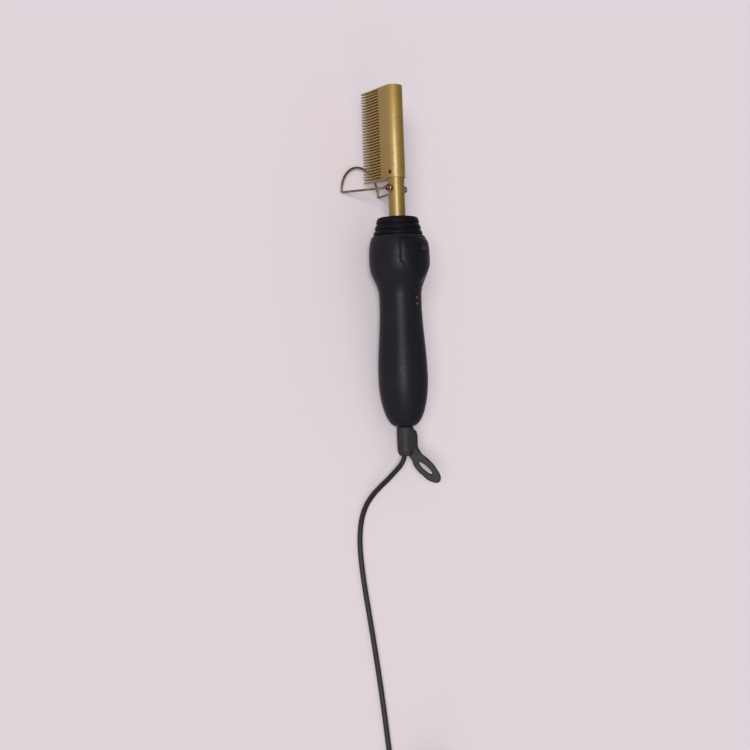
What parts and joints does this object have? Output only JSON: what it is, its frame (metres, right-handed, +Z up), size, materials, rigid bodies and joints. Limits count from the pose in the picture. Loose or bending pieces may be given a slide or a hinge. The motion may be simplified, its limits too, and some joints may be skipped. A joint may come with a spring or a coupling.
{
  "type": "electric hot comb",
  "caption": "Electric hot comb with a gold toothed head, a folding wire stand, a black handle with heat dial, power button and lamps, and a swivel lead with a hang loop.",
  "frame": {"origin": "on the table, under the middle of the resting comb's length and width, its lead and plug left out", "axes": "+X from the tip of the comb towards the end of the handle, +Y to the far side, +Z up from the table; the comb rests with its teeth down, its nose raised by the wire stand, so its own axis leans 7.2 degrees"},
  "size_m": [0.5918, 0.0978, 0.0568],
  "materials": {
    "gold_head": "satin gold-coloured cast head",
    "gold_stem": "satin gold-coloured tube",
    "stand_wire": "thin wire with a brassy plating",
    "rivet_brown": "copper-brown rivets, darkened",
    "dark_steel": "blackened set screw",
    "bright_steel": "zinc-plated steel",
    "contact_brass": "plain brass contacts and blades",
    "black_shell": "matte black moulded plastic",
    "black_nose": "matte black heat-proof plastic",
    "black_panel": "satin black moulded plastic",
    "black_dial": "satin black plastic",
    "black_button": "satin black plastic",
    "red_lens": "clear red lens",
    "boot_rubber": "soft black moulded PVC",
    "cord_rubber": "black PVC lead",
    "tie_plastic": "black plastic strap",
    "inner_plastic": "heat-proof inner plastic",
    "heater_ceramic": "fired ceramic and mica",
    "lead_sleeve": "heat-proof lead sleeving",
    "board_green": "green circuit board"
  },
  "bodies": {
    "cord_set": {"hang_loop_boot": "boot_rubber", "swivel_core": "inner_plastic", "slip_rings": "contact_brass", "cord_run": "cord_rubber", "cord_coil": "cord_rubber", "cord_tail": "cord_rubber", "coil_tie": "tie_plastic", "plug_body": "boot_rubber", "plug_blades": "contact_brass"},
    "comb_body": {"comb_head": "gold_head", "head_set_screw": "dark_steel", "stem_tube": "gold_stem", "heater_rod": "heater_ceramic", "heater_sleeve": "heater_ceramic", "thermal_sensor": "inner_plastic", "thermal_fuse": "bright_steel", "heater_leads": "lead_sleeve", "sensor_leads": "lead_sleeve", "stand_rivets": "rivet_brown", "stem_flange": "bright_steel", "stem_retainer": "heater_ceramic", "handle_nose": "black_nose", "upper_shell": "black_shell", "lower_shell": "black_shell", "shell_screws": "bright_steel", "control_panel": "black_panel", "circuit_board": "board_green", "board_screws": "bright_steel", "dial_potentiometer": "inner_plastic", "button_switch": "inner_plastic", "power_lamp": "red_lens", "ready_lamp": "red_lens", "control_chip": "inner_plastic", "heater_triac": "inner_plastic", "smoothing_capacitor": "inner_plastic", "swivel_housing": "inner_plastic", "swivel_brushes": "contact_brass", "supply_leads": "lead_sleeve"},
    "dial": {"temperature_dial": "black_dial", "dial_shaft": "bright_steel"},
    "button": {"power_button": "black_button", "switch_plunger": "inner_plastic"},
    "stand": {"stand_wire": "stand_wire"}
  },
  "joints": [
    {"name": "cord_swivel", "type": "hinge", "parent": "cord_set", "child": "comb_body", "pos_m": [0.1108, 0, 0.01485], "axis": [0.992, 0, -0.1262], "continuous": true},
    {"name": "stand_fold", "type": "hinge", "parent": "comb_body", "child": "stand", "pos_m": [-0.07039, 0, 0.0379], "axis": [0, -1, 0], "range_deg": [0, 80]},
    {"name": "dial_turn", "type": "hinge", "parent": "comb_body", "child": "dial", "pos_m": [-0.02047, 0, 0.04754], "axis": [0.992, 0, -0.1262], "range_deg": [0, 270]},
    {"name": "power_press", "type": "slide", "parent": "comb_body", "child": "button", "axis": [-0.1262, 0, -0.992], "range_m": [0, 0.0008], "stiffness_N_per_m": 1500}
  ]
}
